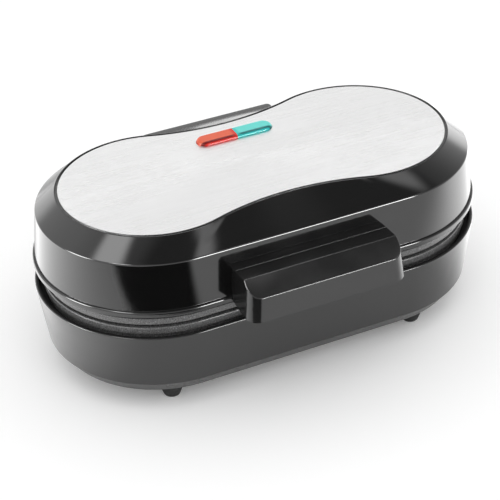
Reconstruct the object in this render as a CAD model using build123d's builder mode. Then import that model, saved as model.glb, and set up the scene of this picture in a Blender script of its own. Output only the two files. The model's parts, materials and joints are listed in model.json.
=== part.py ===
"""Double omelette maker: a base and a hinged lid, each with a coated cooking plate.

Millimetres, +Z up. The origin lies on the table, under the middle of the footprint.
The handle is at the front, towards -Y, and the hinge at the rear.
"""
import os
from math import atan2, cos, degrees, radians, sin, tan

from build123d import *

os.makedirs("parts", exist_ok=True)

# How close two heights are when they count as one level
level_tolerance = 0.01

# Shell outlines: slots round two lobe centres, each given by its end radius
lobe_spacing = 152.0
base_foot_radius = 79.0
lid_mouth_radius = 82.2
rim_stand = 2.1
base_rim_radius = lid_mouth_radius + rim_stand
crease_radius = 79.0
shell_wall = 2.5

# Heights, stacked from the table
foot_height = 14.6
cover_height = 10.0
base_wall_height = 41.4
plate_reveal = 5.6
plate_gap = 0.3
mouth_standoff = 9.6
bead_height = 4.9
lid_wall_height = 33.3
bevel_height = 12.4

cover_bottom_z = foot_height
cover_top_z = cover_bottom_z + cover_height
rim_z = cover_top_z + base_wall_height
lower_face_z = rim_z + plate_reveal
upper_face_z = lower_face_z + plate_gap
mouth_z = upper_face_z + mouth_standoff
bead_top_z = mouth_z + bead_height
crease_z = bead_top_z + lid_wall_height
top_z = crease_z + bevel_height

# Steel inlay in the lid's top: two round lobes joined by a drawn-in waist
inlay_lobe_radius = 63.0
inlay_lobe_spacing = 151.0
inlay_waist = 50.2
inlay_thickness = 0.8
inlay_gap = 1.0
lip_width = 1.1
lip_rounding = 0.9
crease_rounding = 1.2
bead_stand = 1.7
bead_rounding = 1.5
bead_slack = 0.3
rim_rounding = 0.8

# Cooking plates, measured down from the rim that meets the other plate
plate_clearance = 3.3
plate_radius = base_rim_radius - shell_wall - plate_clearance
plate_rim_height = 1.0
plate_band_rounding = 0.8
plate_band_height = 4.8
plate_deck = 4.0
skirt_inset = 1.5
skirt_wall = 3.0
skirt_depth = 11.6
well_spacing = lobe_spacing
well_margin = 22.5
well_radius = plate_radius - well_margin
well_draft = 15.0
well_rounding = 2.8
well_wall = 3.0
lower_well_depth = 15.0
upper_well_depth = 11.0
ridge_top_width = 3.0
ridge_foot_width = 7.0
ridge_drop = 3.0
ledge_height = 2.5
ledge_inset = 9.5
ledge_radius = plate_radius - ledge_inset

# Screws
m3_radius = 1.5
m4_radius = 2.0
screw_post_radius = 4.5
screw_slack = 0.3
screw_end_gap = 0.5
head_height = 2.2
head_ratio = 1.9
head_sink = 0.6
driver_depth = 1.0
driver_reach = 1.25
driver_width = 0.33

# Reflector posts under each plate, and the plates' own fixings
reflector_post_x = 20.0
reflector_post_y = 45.0
reflector_post_drop = 23.6
reflector_sheet = 0.8
reflector_inset = 12.5
reflector_radius = plate_radius - reflector_inset
reflector_upturn = 5.0
column_gap = 1.0
plate_screw_x = 38.0
plate_screw_inset = 5.7
plate_screw_y = plate_radius - plate_screw_inset
plate_screw_length = 9.0
upper_screw_length = 18.0

# Heating elements, with the upper plate's screws inside the loop
element_radius = 3.3
element_inset = 14.0
element_loop_radius = plate_radius - element_inset
upper_screw_inset = 10.2
upper_screw_y = element_loop_radius - upper_screw_inset
element_break = 13.0
element_bend = 8.0
element_drop = 13.0
element_notch = 13.2
terminal_radius = 1.6
terminal_length = 8.0

# Base cover and feet
cover_bottom_radius = 71.5
cover_inset = 0.6
cover_wall = 2.2
cover_lip_height = 3.0
cover_lip_gap = 0.3
cover_post_radius = 66.0
cover_post_angle = 35.0
cover_post_height = 11.4
cover_screw_length = 20.0
foot_x = 92.4
foot_y = 54.2
foot_tip_radius = 5.5
foot_flare_radius = 7.7
foot_flare_height = 6.0
foot_top_radius = 8.0
foot_stem_radius = 3.0
foot_stem_slack = 0.05
foot_barb_radius = 4.0
foot_barb_height = 2.0
foot_rounding = 1.2
vent_length = 26.0
vent_width = 3.0
vent_pitch = 9.0
vent_count = 5

# Rear hinge
hinge_stand = 9.8
hinge_reach = lid_mouth_radius + hinge_stand
hinge_z = 77.0
barrel_radius = 7.0
barrel_half_width = 50.0
lid_block_shelf = 4.9
lid_block_foot = 3.0
ear_gap = 0.4
ear_width = 6.0
block_drop = 8.0
block_knee_drop = 16.0
block_bottom_z = 32.0
block_rounding = 2.5
block_stand = 7.5
block_foot_stand = 2.0
block_reach = hinge_reach + block_stand
block_foot_reach = hinge_reach + block_foot_stand
block_wall = 3.0
pin_radius = 2.5
pin_depth = 16.0
pin_running_gap = 0.06
pin_press_gap = 0.01
pin_head_radius = 4.2
pin_head_height = 1.2
pin_end_gap = 1.0

# Handle
handle_half_width = 55.0
handle_stand = 29.3
handle_lip_setback = 1.2
handle_brow_setback = 13.0
handle_post_setback = 17.5
handle_root_setback = 30.8
handle_reach = lid_mouth_radius + handle_stand
handle_lip_reach = handle_reach - handle_lip_setback
handle_top_reach = handle_reach - handle_brow_setback
handle_post_reach = handle_reach - handle_post_setback
handle_root_reach = handle_reach - handle_root_setback
handle_top_drop = 12.3
handle_rear_drop = 1.2
handle_brow_drop = 9.5
handle_bottom_front = 80.5
handle_bottom_rear = 83.7
handle_corner = 9.0
handle_side_draft = 5.6
handle_wall = 2.8
handle_edge = 0.9
handle_post_x = 32.0
handle_post_drop = 8.9
handle_post_radius = 3.6
handle_screw_length = 12.0
handle_screw_bite = 11.0
handle_screw_stand = 0.3

# Lamp window
lens_length = 56.5
lens_width = 13.0
lens_dome = 2.5
lens_slack = 0.3
lens_flange = 2.0
lens_flange_height = 1.5
lens_shell = 1.6
lens_reach = 33.6
lamp_boss_height = 6.0
lamp_boss_radius = 4.0
deck_thickness = 2.5
holder_margin = 4.0
holder_height = 12.0
holder_wall = 2.0
holder_tab = 10.0
lamp_radius = 3.0
lamp_length = 15.0
lamp_lead_radius = 0.5
lamp_rounding = 1.8
lamp_lead_length = 3.5

# Thermostat, fuse and terminal block
thermostat_radius = 8.0
thermostat_height = 7.0
thermostat_flange = 1.2
thermostat_ear = 13.0
thermostat_gap = 3.0
thermostat_rounding = 1.0
blade_width = 6.3
blade_thickness = 0.8
blade_length = 8.0
fuse_radius = 2.0
fuse_length = 22.0
fuse_reach = 30.0
fuse_clip = 1.0
fuse_rounding = 0.6
fuse_clip_half_width = 4.4
terminal_pitch = 10.0
terminal_block_width = 16.0
terminal_block_height = 11.0
terminal_block_x = 46.0
terminal_block_y = 8.0
terminal_bore = 2.2
terminal_rounding = 2.0
terminal_tower_length = 8.0
terminal_tower_width = 11.2
sleeve_wall = 0.8
sleeve_inset = 1.0

# Cord outlet
outlet_x = 67.0
outlet_z = 44.0
outlet_stand = 2.9
outlet_boss_radius = 8.4
outlet_bore_radius = 3.8
outlet_barrel_radius = 5.6
outlet_flange_radius = 7.6
outlet_flange = 2.0
outlet_slack = 0.1
outlet_taper_length = 4.5
outlet_taper = 8.0

handle_crest_height = crease_z - handle_top_drop
handle_post_height = handle_crest_height - handle_post_drop
outlet_root = base_foot_radius - 2 * shell_wall
base_slope = (base_rim_radius - base_foot_radius) / base_wall_height
outlet_top_z = outlet_z + outlet_boss_radius
outlet_reach = base_foot_radius + (outlet_top_z - cover_top_z) * base_slope + outlet_stand

# The shells' centre lies behind the origin by half of what the handle reaches out more than the hinge
shell_y = (handle_reach - block_reach) / 2


def level(z):
    """A level plane at height z, centred on the shells."""
    return Plane(origin=(0, shell_y, z))


def side(x):
    """An upright plane across the object at x: its own X runs to the rear and its Y up."""
    return Plane(origin=(x, shell_y, 0), x_dir=(0, 1, 0), z_dir=(1, 0, 0))


def outlet(reach):
    """An upright plane on the cord outlet's axis, at a distance from the shells' centre, facing the rear."""
    return Plane(origin=(outlet_x, shell_y + reach, outlet_z), z_dir=(0, 1, 0))


def slot(z, radius):
    """The shells' outline at height z."""
    with BuildSketch(level(z)) as outline:
        SlotCenterToCenter(lobe_spacing, 2 * radius)
    return outline.sketch


def slot_form(*steps):
    """A drafted solid through slots given as (height, radius), from the lowest up."""
    with BuildPart() as form:
        loft([slot(z, radius) for z, radius in steps], ruled=True)
    return form.part


def peanut(z, margin=0.0):
    """The inlay's outline at height z, let out by a margin."""
    centre = inlay_lobe_spacing / 2
    bulge = inlay_lobe_radius - inlay_waist
    waist_y = (centre**2 - bulge**2) / (2 * bulge)
    waist_radius = waist_y - inlay_waist - margin
    lobe_radius = inlay_lobe_radius + margin
    lean = degrees(atan2(waist_y, centre))
    turn = 180 - lean
    with BuildSketch(level(z)) as outline:
        with BuildLine():
            CenterArc((centre, 0), lobe_radius, -turn, turn)
            CenterArc((centre, 0), lobe_radius, 0, turn)
            CenterArc((0, waist_y), waist_radius, -lean, lean - 90)
            CenterArc((0, waist_y), waist_radius, -90, lean - 90)
            CenterArc((-centre, 0), lobe_radius, lean, turn)
            CenterArc((-centre, 0), lobe_radius, 180, turn)
            CenterArc((0, -waist_y), waist_radius, turn, lean - 90)
            CenterArc((0, -waist_y), waist_radius, 90, lean - 90)
        make_face()
    return outline.sketch


def split_slot(z, radius):
    """The shells' outline, cut where the inlay's outline is, so that a skin runs evenly between them."""
    end = lobe_spacing / 2
    with BuildSketch(level(z)) as outline:
        with BuildLine():
            CenterArc((end, 0), radius, -90, 90)
            CenterArc((end, 0), radius, 0, 90)
            Line((end, radius), (0, radius))
            Line((0, radius), (-end, radius))
            CenterArc((-end, 0), radius, 90, 90)
            CenterArc((-end, 0), radius, 180, 90)
            Line((-end, -radius), (0, -radius))
            Line((0, -radius), (end, -radius))
        make_face()
    return outline.sketch


lid_slope = (lid_mouth_radius - crease_radius) / lid_wall_height


def lid_form(inset, floor_z, roof_z):
    """The lid's solid shape, drawn in by an inset, from its mouth up over the crease to the roof."""
    mouth = crease_radius + (crease_z - floor_z) * lid_slope - inset
    crease = crease_radius - inset
    shoulder_z = crease_z - tan(radians(45) / 2) * inset
    roof_margin = inlay_gap + lip_width - inset
    with BuildPart() as form:
        loft([split_slot(floor_z, mouth), split_slot(shoulder_z, crease)], ruled=True)
        loft([split_slot(shoulder_z, crease), peanut(roof_z, roof_margin)], ruled=True)
    return form.part


def screw(radius, length, head_radius):
    """A pan-head screw, driven down: its head's seat at the origin, the shank along -Z."""
    with BuildPart() as fastener:
        Cylinder(head_radius, head_height, align=(Align.CENTER, Align.CENTER, Align.MIN))
        fillet(fastener.edges().sort_by(Axis.Z)[-1], head_height / 3)
        with BuildSketch(Plane.XY.offset(head_height)):
            Rectangle(head_radius * driver_reach, head_radius * driver_width)
            Rectangle(head_radius * driver_width, head_radius * driver_reach)
        extrude(amount=-driver_depth, mode=Mode.SUBTRACT)
        Cylinder(radius, length, align=(Align.CENTER, Align.CENTER, Align.MAX))
    return fastener.part


def countersunk_screw(radius, length, head_radius):
    """A countersunk screw: its head's flat face at the origin, the shank along -Z."""
    with BuildPart() as fastener:
        with BuildSketch(Plane.XZ):
            with BuildLine():
                Polyline(
                    (0, 0),
                    (head_radius, 0),
                    (radius, radius - head_radius),
                    (radius, -length),
                    (0, -length),
                    close=True,
                )
            make_face()
        revolve(axis=Axis.Z)
        with BuildSketch(Plane.XY):
            Rectangle(head_radius * driver_reach, head_radius * driver_width)
            Rectangle(head_radius * driver_width, head_radius * driver_reach)
        extrude(amount=-driver_depth, mode=Mode.SUBTRACT)
    return fastener.part


def group_at(piece, plane, spots, flip=False):
    """Copies of a piece at spots on a plane, turned over if they are driven from below."""
    turn = Rotation(180, 0, 0) if flip else Rotation(0, 0, 0)
    return [piece.moved(plane.location * Location((x, y, 0)) * turn) for x, y in spots]


def four(x, y):
    """A spot and its mirror images in both middle planes."""
    return [(sx * x, sy * y) for sx in (-1, 1) for sy in (-1, 1)]


reflector_posts = four(reflector_post_x, reflector_post_y)
lower_plate_spots = four(plate_screw_x, plate_screw_y)
upper_plate_spots = [(0, -upper_screw_y), (0, upper_screw_y)]
foot_spots = four(foot_x, foot_y)
cover_spots = four(
    lobe_spacing / 2 + cover_post_radius * cos(radians(cover_post_angle)),
    cover_post_radius * sin(radians(cover_post_angle)),
)
m3_head = m3_radius * head_ratio
m4_head = m4_radius * head_ratio
skirt_radius = plate_radius - skirt_inset
deck_bottom = plate_rim_height + plate_deck
well_draw = tan(radians(well_draft))


def cooking_plate(well_depth):
    """One coated casting. Its cooking side faces +Z and its sealing rims lie at Z = 0."""
    well_foot = well_radius - well_depth * well_draw
    wells = [(-well_spacing / 2, 0), (well_spacing / 2, 0)]
    with BuildPart() as casting:
        # Edge band, deck and skirt
        with BuildSketch(Plane.XY.offset(-plate_rim_height)):
            SlotCenterToCenter(lobe_spacing, 2 * plate_radius)
        extrude(amount=-plate_band_height)
        fillet(casting.edges().group_by(Axis.Z)[-1], plate_band_rounding)
        with BuildSketch(Plane.XY.offset(-plate_rim_height - plate_band_height)):
            SlotCenterToCenter(lobe_spacing, 2 * skirt_radius)
        extrude(amount=plate_rim_height + plate_band_height - skirt_depth)
        with BuildSketch(Plane.XY.offset(-skirt_depth)):
            SlotCenterToCenter(lobe_spacing, 2 * (skirt_radius - skirt_wall))
        extrude(amount=skirt_depth - deck_bottom, mode=Mode.SUBTRACT)
        # Bowls behind the wells, and the rims that seal them
        with BuildSketch(Plane.XY):
            with Locations(*wells):
                Circle(well_radius + well_wall)
        extrude(amount=-well_depth - well_wall, taper=well_draft)
        # Posts that carry the reflector
        with BuildSketch(Plane.XY.offset(-deck_bottom)):
            with Locations(*reflector_posts):
                Circle(screw_post_radius)
        extrude(amount=deck_bottom - reflector_post_drop)
        # Wells
        with BuildSketch(Plane.XY):
            with Locations(*wells):
                Circle(well_radius)
        extrude(amount=-well_depth, taper=well_draft, mode=Mode.SUBTRACT)
        # A ridge across each well makes two half-moon pockets
        for x, y in wells:
            with BuildSketch(Plane.XZ.offset(-y)) as ridge:
                with BuildLine():
                    Polyline(
                        (x - ridge_foot_width / 2, -well_depth - well_wall / 2),
                        (x - ridge_top_width / 2, -ridge_drop),
                        (x + ridge_top_width / 2, -ridge_drop),
                        (x + ridge_foot_width / 2, -well_depth - well_wall / 2),
                        close=True,
                    )
                make_face()
            extrude(amount=well_foot + well_wall / 2, both=True)
        floor_edges = casting.edges().filter_by_position(
            Axis.Z, -well_depth - level_tolerance, -well_depth + level_tolerance
        )
        fillet(floor_edges.filter_by(GeomType.CIRCLE), well_rounding)
        # Blind holes for the reflector's screws
        with Locations(*[(x, y, -reflector_post_drop) for x, y in reflector_posts]):
            Cylinder(
                m3_radius,
                plate_screw_length,
                align=(Align.CENTER, Align.CENTER, Align.MIN),
                mode=Mode.SUBTRACT,
            )
    return casting.part


def heating_element(depth):
    """A sheathed tube in the channel between the wells and the skirt, its ends turned down at the rear."""
    end = lobe_spacing / 2
    loop = element_loop_radius
    z = -depth
    with BuildPart() as element:
        with BuildLine() as path:
            FilletPolyline(
                (-element_break, loop, z - element_drop),
                (-element_break, loop, z),
                (-end, loop, z),
                radius=element_bend,
            )
            ThreePointArc((-end, loop, z), (-end - loop, 0, z), (-end, -loop, z))
            Line((-end, -loop, z), (end, -loop, z))
            ThreePointArc((end, -loop, z), (end + loop, 0, z), (end, loop, z))
            FilletPolyline(
                (end, loop, z),
                (element_break, loop, z),
                (element_break, loop, z - element_drop),
                radius=element_bend,
            )
        with BuildSketch(Plane(origin=(-element_break, loop, z - element_drop), z_dir=(0, 0, 1))):
            Circle(element_radius)
        sweep()
        with Locations(*[(x, loop, z - element_drop) for x in (-element_break, element_break)]):
            Cylinder(terminal_radius, terminal_length, align=(Align.CENTER, Align.CENTER, Align.MAX))
    return element.part


def reflector(posts_through, post_gap):
    """A pressed sheet tray, screwed on at Z = 0, with its edge turned up and holes for other posts."""
    with BuildPart() as tray:
        with BuildSketch(Plane.XY):
            SlotCenterToCenter(lobe_spacing, 2 * reflector_radius)
        extrude(amount=-reflector_sheet)
        with BuildSketch(Plane.XY):
            SlotCenterToCenter(lobe_spacing, 2 * reflector_radius)
            SlotCenterToCenter(lobe_spacing, 2 * (reflector_radius - reflector_sheet), mode=Mode.SUBTRACT)
        extrude(amount=reflector_upturn)
        with BuildSketch(Plane.XY.offset(-reflector_sheet)):
            with Locations(*reflector_posts):
                Circle(m3_radius + screw_slack)
            with Locations((-element_break, element_loop_radius), (element_break, element_loop_radius)):
                Rectangle(element_notch, element_notch)
            with Locations((0, 0)):
                Circle(thermostat_radius + thermostat_gap)
            with Locations(*posts_through):
                Circle(screw_post_radius + post_gap)
        extrude(amount=reflector_sheet + reflector_upturn, mode=Mode.SUBTRACT)
    return tray.part


lower_casting = cooking_plate(lower_well_depth)
upper_casting = mirror(cooking_plate(upper_well_depth), about=Plane.XY)
to_lower = Location((0, shell_y, lower_face_z))
to_upper = Location((0, shell_y, upper_face_z))
ledge_top_z = lower_face_z - skirt_depth
lid_ledge_z = upper_face_z + skirt_depth
element_depth = deck_bottom + element_radius

# Lower cooking plate, with screw columns inside its skirt
with BuildPart() as lower_cooking_plate:
    add(lower_casting.moved(to_lower))
    with BuildSketch(level(lower_face_z - deck_bottom)):
        with Locations(*lower_plate_spots):
            Circle(screw_post_radius)
        SlotCenterToCenter(lobe_spacing, 2 * skirt_radius, mode=Mode.INTERSECT)
    extrude(amount=deck_bottom - skirt_depth)
    with BuildSketch(level(ledge_top_z)):
        with Locations(*lower_plate_spots):
            Circle(m3_radius)
    extrude(amount=skirt_depth - deck_bottom, mode=Mode.SUBTRACT)
lower_cooking_plate.part.label = "lower_cooking_plate"

# Upper cooking plate, countersunk for the two screws that hold it up
with BuildPart() as upper_cooking_plate:
    add(upper_casting.moved(to_upper))
    with BuildSketch(level(upper_face_z + plate_rim_height)):
        with Locations(*upper_plate_spots):
            Circle(m4_radius + screw_slack)
    extrude(amount=plate_deck, mode=Mode.SUBTRACT)
    with BuildSketch(level(upper_face_z + plate_rim_height)):
        with Locations(*upper_plate_spots):
            Circle(m4_head + screw_slack)
    extrude(amount=m4_head - m4_radius, taper=45, mode=Mode.SUBTRACT)
upper_cooking_plate.part.label = "upper_cooking_plate"

lower_element = heating_element(element_depth)
upper_element = mirror(lower_element, about=Plane.XY)
lower_tray = reflector(cover_spots, column_gap)
upper_tray = mirror(reflector(upper_plate_spots, screw_slack), about=Plane.XY)

with BuildPart() as lower_heating_element:
    add(lower_element.moved(to_lower))
lower_heating_element.part.label = "lower_heating_element"

with BuildPart() as upper_heating_element:
    add(upper_element.moved(to_upper))
upper_heating_element.part.label = "upper_heating_element"

with BuildPart() as lower_reflector:
    add(lower_tray.moved(Location((0, shell_y, lower_face_z - reflector_post_drop))))
lower_reflector.part.label = "lower_reflector"

with BuildPart() as upper_reflector:
    add(upper_tray.moved(Location((0, shell_y, upper_face_z + reflector_post_drop))))
upper_reflector.part.label = "upper_reflector"

# Base housing
ear_inner_x = barrel_half_width + ear_gap
ear_outer_x = ear_inner_x + ear_width
block_top_z = hinge_z - block_drop
ear_middles = [sx * (ear_inner_x + ear_width / 2) for sx in (-1, 1)]

with BuildSketch(side(0)) as base_block_profile:
    with BuildLine():
        Polyline(
            (base_foot_radius - shell_wall, block_bottom_z),
            (block_foot_reach, block_bottom_z),
            (block_reach, block_top_z - block_knee_drop),
            (block_reach, block_top_z),
            (base_rim_radius - shell_wall, block_top_z),
            (base_rim_radius - shell_wall, rim_z),
            close=True,
        )
    make_face()

with BuildSketch(side(0)) as ear_profile:
    with Locations((hinge_reach, hinge_z)):
        Circle(barrel_radius)
    with Locations((hinge_reach, hinge_z - barrel_radius)):
        Rectangle(2 * barrel_radius, 2 * barrel_radius)

with BuildPart() as base_housing:
    add(slot_form((cover_top_z, base_foot_radius), (rim_z, base_rim_radius)))
    fillet(base_housing.edges().group_by(Axis.Z)[-1], rim_rounding)
    extrude(base_block_profile.sketch, amount=ear_outer_x, both=True)
    rear_corners = base_housing.edges().filter_by(Axis.Z).group_by(Axis.Y)[-1]
    fillet(rear_corners, block_rounding)
    for x in ear_middles:
        extrude(ear_profile.sketch.moved(Location((x, 0, 0))), amount=ear_width / 2, both=True)
    # Hollow of the tub above and below the ledge that carries the cooking plate
    add(
        slot_form((cover_top_z, base_foot_radius - shell_wall), (rim_z, base_rim_radius - shell_wall)),
        mode=Mode.SUBTRACT,
    )
    with BuildSketch(level(ledge_top_z - ledge_height)):
        SlotCenterToCenter(lobe_spacing, 2 * (base_rim_radius - shell_wall / 2))
        SlotCenterToCenter(lobe_spacing, 2 * ledge_radius, mode=Mode.SUBTRACT)
    extrude(amount=ledge_height)
    # The rear block is hollow and open to the tub
    with BuildSketch(level(block_bottom_z + block_wall)):
        with Locations((0, (base_rim_radius + block_foot_reach) / 2 - block_wall)):
            Rectangle(2 * (ear_inner_x - block_wall), block_foot_reach - base_rim_radius + shell_wall)
    extrude(amount=ledge_top_z - ledge_height - block_bottom_z - 2 * block_wall, mode=Mode.SUBTRACT)
    # Columns for the bottom cover's screws, tied to the wall by ribs
    for x, y in cover_spots:
        outward = degrees(atan2(y, x - (lobe_spacing / 2 if x > 0 else -lobe_spacing / 2)))
        with BuildSketch(level(cover_bottom_z + cover_post_height)):
            with Locations((x, y)):
                Circle(screw_post_radius)
            with Locations(Location((x, y, 0), (0, 0, outward))):
                Rectangle(
                    base_foot_radius - shell_wall / 2 - cover_post_radius,
                    shell_wall,
                    align=(Align.MIN, Align.CENTER),
                )
        extrude(amount=ledge_top_z - cover_bottom_z - cover_post_height)
        with BuildSketch(level(cover_bottom_z + cover_post_height)):
            with Locations((x, y)):
                Circle(m3_radius)
        extrude(amount=cover_screw_length, mode=Mode.SUBTRACT)
    with BuildSketch(level(ledge_top_z - ledge_height)):
        with Locations(*lower_plate_spots):
            Circle(m3_radius + screw_slack)
    extrude(amount=ledge_height, mode=Mode.SUBTRACT)
    # Flat boss and hole for the cord outlet
    with BuildSketch(outlet(outlet_reach)):
        Circle(outlet_boss_radius)
    extrude(amount=-(outlet_reach - base_foot_radius + shell_wall / 2))
    with BuildSketch(outlet(outlet_reach)):
        Circle(outlet_barrel_radius + outlet_slack)
    extrude(amount=-(outlet_reach - base_foot_radius + 3 * shell_wall), mode=Mode.SUBTRACT)
    # Pin holes through the ears
    with BuildSketch(side(-ear_outer_x)):
        with Locations((hinge_reach, hinge_z)):
            Circle(pin_radius + pin_press_gap)
    extrude(amount=2 * ear_outer_x, mode=Mode.SUBTRACT)
base_housing.part.label = "base_housing"

# Bottom cover
cover_top_radius = base_foot_radius - cover_inset
floor_z = cover_bottom_z + cover_wall
lip_radius = base_foot_radius - shell_wall - cover_lip_gap

with BuildPart() as base_bottom_cover:
    add(slot_form((cover_bottom_z, cover_bottom_radius), (cover_top_z, cover_top_radius)))
    with BuildSketch(level(cover_top_z)):
        SlotCenterToCenter(lobe_spacing, 2 * lip_radius)
    extrude(amount=cover_lip_height)
    add(
        slot_form(
            (floor_z, cover_bottom_radius - cover_wall),
            (cover_top_z, lip_radius - cover_wall),
            (cover_top_z + cover_lip_height, lip_radius - cover_wall),
        ),
        mode=Mode.SUBTRACT,
    )
    with BuildSketch(level(floor_z)):
        with Locations(*cover_spots):
            Circle(screw_post_radius)
    extrude(amount=cover_post_height - cover_wall)
    with BuildSketch(level(cover_bottom_z)):
        with Locations(*cover_spots):
            Circle(m3_radius + screw_slack)
    extrude(amount=cover_post_height, mode=Mode.SUBTRACT)
    with BuildSketch(level(cover_bottom_z)):
        with Locations(*cover_spots):
            Circle(m3_head + screw_slack)
    extrude(amount=head_height + head_sink, mode=Mode.SUBTRACT)
    # The columns' ribs pass through notches in the lip
    for x, y in cover_spots:
        outward = degrees(atan2(y, x - (lobe_spacing / 2 if x > 0 else -lobe_spacing / 2)))
        with BuildSketch(level(cover_bottom_z + cover_post_height)):
            with Locations(Location((x, y, 0), (0, 0, outward))):
                Rectangle(
                    base_foot_radius - cover_post_radius,
                    shell_wall + 2 * cover_lip_gap,
                    align=(Align.MIN, Align.CENTER),
                )
        extrude(amount=cover_lip_height, mode=Mode.SUBTRACT)
    # Foot holes and vents
    with BuildSketch(level(cover_bottom_z)):
        with Locations(*foot_spots):
            Circle(foot_stem_radius + foot_stem_slack)
        with GridLocations(0, vent_pitch, 1, vent_count):
            SlotOverall(vent_length, vent_width)
    extrude(amount=cover_wall, mode=Mode.SUBTRACT)
base_bottom_cover.part.label = "base_bottom_cover"

# Rubber feet, each pushed into its hole
with BuildPart() as foot:
    with BuildSketch(Plane.XZ):
        with BuildLine():
            Polyline(
                (0, 0),
                (foot_tip_radius, 0),
                (foot_flare_radius, foot_flare_height),
                (foot_top_radius, foot_height),
                (foot_stem_radius, foot_height),
                (foot_stem_radius, foot_height + cover_wall),
                (foot_barb_radius, foot_height + cover_wall),
                (foot_stem_radius, foot_height + cover_wall + foot_barb_height),
                (0, foot_height + cover_wall + foot_barb_height),
                close=True,
            )
        make_face()
    revolve(axis=Axis.Z)
    fillet(foot.edges().filter_by(GeomType.CIRCLE).group_by(Axis.Z)[0], foot_rounding)
foot_names = {
    "foot_front_left": (-1, -1),
    "foot_front_right": (1, -1),
    "foot_rear_left": (-1, 1),
    "foot_rear_right": (1, 1),
}

# Lid housing
crest = [(crease_radius - shell_wall / 2, crease_z), (crease_radius + lid_block_shelf, crease_z)]
with BuildSketch(side(0)) as lid_block_profile:
    with BuildLine():
        CenterArc((hinge_reach, hinge_z), barrel_radius, 0, 360)
        Line(*crest)
        Line((lid_mouth_radius - shell_wall / 2, mouth_z + lid_block_foot), crest[0])
    make_hull()

pocket_z = top_z - inlay_thickness
deck_z = pocket_z - deck_thickness
holder_length = lens_length + 2 * (lens_flange + holder_margin)
holder_width = lens_width + 2 * (lens_flange + holder_margin)
holder_screw_x = holder_length / 2 + holder_tab / 2
holder_spots = [(-holder_screw_x, lens_reach), (holder_screw_x, lens_reach)]
handle_spots = [(-handle_post_x, handle_post_height), (handle_post_x, handle_post_height)]


def front(reach):
    """An upright plane across the front, at a distance from the shells' centre; its X runs along +X."""
    return Plane(origin=(0, shell_y - reach, 0), x_dir=(1, 0, 0), z_dir=(0, -1, 0))


# The lid's hollow, with the ledge, the plate posts and the lamp bosses left standing
with BuildPart() as lid_hollow:
    add(lid_form(shell_wall, mouth_z, deck_z))
    with BuildSketch(level(lid_ledge_z)):
        SlotCenterToCenter(lobe_spacing, 2 * lid_mouth_radius)
        SlotCenterToCenter(lobe_spacing, 2 * ledge_radius, mode=Mode.SUBTRACT)
    extrude(amount=ledge_height, mode=Mode.SUBTRACT)
    with BuildSketch(level(upper_face_z + deck_bottom)):
        with Locations(*upper_plate_spots):
            Circle(screw_post_radius)
    extrude(amount=top_z - upper_face_z - deck_bottom, mode=Mode.SUBTRACT)
    with BuildSketch(level(deck_z - lamp_boss_height)):
        with Locations(*holder_spots):
            Circle(lamp_boss_radius)
    extrude(amount=2 * lamp_boss_height, mode=Mode.SUBTRACT)

# Bead round the lid's mouth
with BuildPart() as bead:
    with BuildSketch(level(mouth_z)):
        SlotCenterToCenter(lobe_spacing, 2 * (lid_mouth_radius + bead_stand))
    extrude(amount=bead_height)
    fillet(bead.edges().group_by(Axis.Z)[0] + bead.edges().group_by(Axis.Z)[-1], bead_rounding)

with BuildPart() as lid_housing:
    add(lid_form(0.0, mouth_z, top_z))
    creases = lid_housing.edges().filter_by_position(
        Axis.Z, crease_z - level_tolerance, crease_z + level_tolerance
    )
    fillet(creases, crease_rounding)
    fillet(lid_housing.edges().group_by(Axis.Z)[-1], lip_rounding)
    add(bead.part)
    # Hinge block and barrel
    extrude(lid_block_profile.sketch, amount=barrel_half_width, both=True)
    add(lid_hollow.part, mode=Mode.SUBTRACT)
    # Pocket for the inlay, and the lamp window's slot
    add(extrude(peanut(top_z, inlay_gap), amount=-inlay_thickness, mode=Mode.PRIVATE), mode=Mode.SUBTRACT)
    with BuildSketch(level(pocket_z)):
        with Locations((0, lens_reach)):
            SlotOverall(lens_length + 2 * lens_slack, lens_width + 2 * lens_slack)
    extrude(amount=-deck_thickness, mode=Mode.SUBTRACT)
    # Screw holes: plate posts, lamp bosses and handle
    with BuildSketch(level(upper_face_z + deck_bottom)):
        with Locations(*upper_plate_spots):
            Circle(m4_radius)
    extrude(amount=upper_screw_length, mode=Mode.SUBTRACT)
    with BuildSketch(level(deck_z - lamp_boss_height)):
        with Locations(*holder_spots):
            Circle(m3_radius)
    extrude(amount=lamp_boss_height, mode=Mode.SUBTRACT)
    with BuildSketch(front(crease_radius - 2 * shell_wall)):
        with Locations(*handle_spots):
            Circle(m3_radius + screw_slack)
    extrude(amount=4 * shell_wall, mode=Mode.SUBTRACT)
    # Pin bores in the ends of the barrel
    for sx in (-1, 1):
        with BuildSketch(side(sx * barrel_half_width)):
            with Locations((hinge_reach, hinge_z)):
                Circle(pin_radius + pin_running_gap)
        extrude(amount=-sx * (pin_depth + pin_end_gap), mode=Mode.SUBTRACT)
lid_housing.part.label = "lid_housing"

# Steel inlay
with BuildPart() as top_inlay:
    extrude(peanut(pocket_z), amount=inlay_thickness)
    with BuildSketch(level(pocket_z)):
        with Locations((0, lens_reach)):
            SlotOverall(lens_length + 2 * lens_slack, lens_width + 2 * lens_slack)
    extrude(amount=inlay_thickness, mode=Mode.SUBTRACT)
top_inlay.part.label = "top_inlay"


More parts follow.
